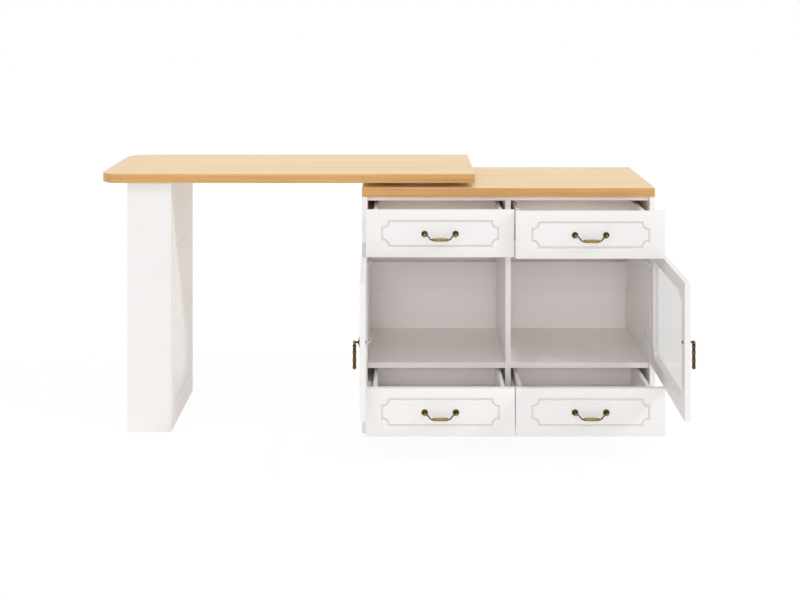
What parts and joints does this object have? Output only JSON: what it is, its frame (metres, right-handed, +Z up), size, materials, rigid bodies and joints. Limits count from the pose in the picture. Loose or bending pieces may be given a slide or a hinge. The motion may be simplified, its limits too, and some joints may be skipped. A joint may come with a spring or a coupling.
{
  "type": "kitchen island cabinet",
  "caption": "Farmhouse island cabinet with glazed doors, drawers and a swivelling oak table top on a boxed leg.",
  "frame": {"origin": "on the floor, at the middle of the cabinet's footprint", "axes": "+X along the length from the table's free end to the cabinet, +Y to the cabinet's back, +Z up"},
  "size_m": [1.8291, 0.8688, 0.8535],
  "materials": {
    "white_paint": "smooth white painted board",
    "oak": "light oak, satin lacquer",
    "dark_brass": "antiqued dark brass",
    "steel": "bright plated steel",
    "slide_steel": "dark plated steel",
    "nylon": "moulded nylon",
    "pane": "clear float glass"
  },
  "bodies": {
    "cabinet": {"side_panel_left": "white_paint", "side_panel_right": "white_paint", "centre_divider": "white_paint", "bottom_panel": "white_paint", "decks": "white_paint", "back_panel": "white_paint", "cross_rails": "white_paint", "toe_kick": "white_paint", "worktop": "oak", "cabinet_glides": "nylon", "slide_packers": "white_paint", "slide_cabinet_members": "slide_steel", "hinge_arms": "steel", "swivel_base": "steel", "swivel_balls": "steel"},
    "table": {"table_top": "oak", "leg_end_panels": "white_paint", "leg_inner_panel": "white_paint", "leg_outer_panel": "white_paint", "leg_blocking": "white_paint", "leg_glides": "nylon", "swivel_ring": "steel"},
    "left_door": {"left_door_frame": "white_paint", "left_door_glass": "pane", "left_glass_retainer": "white_paint", "left_hinge_cups": "steel", "left_pull_post": "dark_brass"},
    "left_links": {"left_hinge_links": "steel"},
    "left_pendant": {"left_pendant": "dark_brass"},
    "right_door": {"right_door_frame": "white_paint", "right_door_glass": "pane", "right_glass_retainer": "white_paint", "right_hinge_cups": "steel", "right_pull_post": "dark_brass"},
    "right_links": {"right_hinge_links": "steel"},
    "right_pendant": {"right_pendant": "dark_brass"},
    "upper_left_drawer": {"upper_left_front": "white_paint", "upper_left_box": "white_paint", "upper_left_slide": "slide_steel", "upper_left_posts": "dark_brass"},
    "upper_left_middle_slides": {"upper_left_slide_middle": "slide_steel"},
    "upper_left_bail": {"upper_left_bail": "dark_brass"},
    "upper_right_drawer": {"upper_right_front": "white_paint", "upper_right_box": "white_paint", "upper_right_slide": "slide_steel", "upper_right_posts": "dark_brass"},
    "upper_right_middle_slides": {"upper_right_slide_middle": "slide_steel"},
    "upper_right_bail": {"upper_right_bail": "dark_brass"},
    "lower_left_drawer": {"lower_left_front": "white_paint", "lower_left_box": "white_paint", "lower_left_slide": "slide_steel", "lower_left_posts": "dark_brass"},
    "lower_left_middle_slides": {"lower_left_slide_middle": "slide_steel"},
    "lower_left_bail": {"lower_left_bail": "dark_brass"},
    "lower_right_drawer": {"lower_right_front": "white_paint", "lower_right_box": "white_paint", "lower_right_slide": "slide_steel", "lower_right_posts": "dark_brass"},
    "lower_right_middle_slides": {"lower_right_slide_middle": "slide_steel"},
    "lower_right_bail": {"lower_right_bail": "dark_brass"}
  },
  "joints": [
    {"name": "table_swivel", "type": "hinge", "parent": "cabinet", "child": "table", "pos_m": [-0.295, 0, 0.815], "axis": [0, 0, -1], "range_deg": [-90, 180]},
    {"name": "left_door_hinge", "type": "hinge", "parent": "cabinet", "child": "left_door", "pos_m": [-0.474, -0.196, 0.4314], "axis": [0, 0, -1], "range_deg": [-88.8, 5.2]},
    {"name": "left_links_turn", "type": "hinge", "parent": "cabinet", "child": "left_links", "pos_m": [-0.4525, -0.1914, 0.4314], "axis": [0, 0, -1], "range_deg": [-116.96, 6.94]},
    {"name": "left_pendant_swing", "type": "hinge", "parent": "left_door", "child": "left_pendant", "pos_m": [-0.48359, -0.6456, 0.4529], "axis": [-0.0209, 0.9998, 0], "range_deg": [-5, 80]},
    {"name": "right_door_hinge", "type": "hinge", "parent": "cabinet", "child": "right_door", "pos_m": [0.474, -0.196, 0.4314], "axis": [0, 0, 1], "range_deg": [-88.8, 5.2]},
    {"name": "right_links_turn", "type": "hinge", "parent": "cabinet", "child": "right_links", "pos_m": [0.4525, -0.1914, 0.4314], "axis": [0, 0, 1], "range_deg": [-116.96, 6.94]},
    {"name": "right_pendant_swing", "type": "hinge", "parent": "right_door", "child": "right_pendant", "pos_m": [0.48359, -0.6456, 0.4529], "axis": [-0.0209, -0.9998, 0], "range_deg": [-5, 80]},
    {"name": "upper_left_drawer_slide", "type": "slide", "parent": "cabinet", "child": "upper_left_drawer", "axis": [0, -1, 0], "range_m": [-0.194, 0.156]},
    {"name": "upper_left_middle_slide", "type": "slide", "parent": "cabinet", "child": "upper_left_middle_slides", "axis": [0, -1, 0], "range_m": [-0.0971, 0.0781]},
    {"name": "upper_left_bail_swing", "type": "hinge", "parent": "upper_left_drawer", "child": "upper_left_bail", "pos_m": [-0.23085, -0.412, 0.70295], "axis": [-1, 0, 0], "range_deg": [-50, 90]},
    {"name": "upper_right_drawer_slide", "type": "slide", "parent": "cabinet", "child": "upper_right_drawer", "axis": [0, -1, 0], "range_m": [-0.212, 0.138]},
    {"name": "upper_right_middle_slide", "type": "slide", "parent": "cabinet", "child": "upper_right_middle_slides", "axis": [0, -1, 0], "range_m": [-0.1061, 0.0691]},
    {"name": "upper_right_bail_swing", "type": "hinge", "parent": "upper_right_drawer", "child": "upper_right_bail", "pos_m": [0.23085, -0.43, 0.70295], "axis": [-1, 0, 0], "range_deg": [-50, 90]},
    {"name": "lower_left_drawer_slide", "type": "slide", "parent": "cabinet", "child": "lower_left_drawer", "axis": [0, -1, 0], "range_m": [-0.212, 0.138]},
    {"name": "lower_left_middle_slide", "type": "slide", "parent": "cabinet", "child": "lower_left_middle_slides", "axis": [0, -1, 0], "range_m": [-0.1061, 0.0691]},
    {"name": "lower_left_bail_swing", "type": "hinge", "parent": "lower_left_drawer", "child": "lower_left_bail", "pos_m": [-0.23085, -0.43, 0.1585], "axis": [-1, 0, 0], "range_deg": [-50, 90]},
    {"name": "lower_right_drawer_slide", "type": "slide", "parent": "cabinet", "child": "lower_right_drawer", "axis": [0, -1, 0], "range_m": [-0.212, 0.138]},
    {"name": "lower_right_middle_slide", "type": "slide", "parent": "cabinet", "child": "lower_right_middle_slides", "axis": [0, -1, 0], "range_m": [-0.1061, 0.0691]},
    {"name": "lower_right_bail_swing", "type": "hinge", "parent": "lower_right_drawer", "child": "lower_right_bail", "pos_m": [0.23085, -0.43, 0.1585], "axis": [-1, 0, 0], "range_deg": [-50, 90]}
  ],
  "couplings": [
    {"joint": "left_links_turn", "follows": "left_door_hinge", "ratio": 1.316},
    {"joint": "right_links_turn", "follows": "right_door_hinge", "ratio": 1.316},
    {"joint": "upper_left_middle_slide", "follows": "upper_left_drawer_slide", "ratio": 0.5},
    {"joint": "upper_right_middle_slide", "follows": "upper_right_drawer_slide", "ratio": 0.5},
    {"joint": "lower_left_middle_slide", "follows": "lower_left_drawer_slide", "ratio": 0.5},
    {"joint": "lower_right_middle_slide", "follows": "lower_right_drawer_slide", "ratio": 0.5}
  ]
}
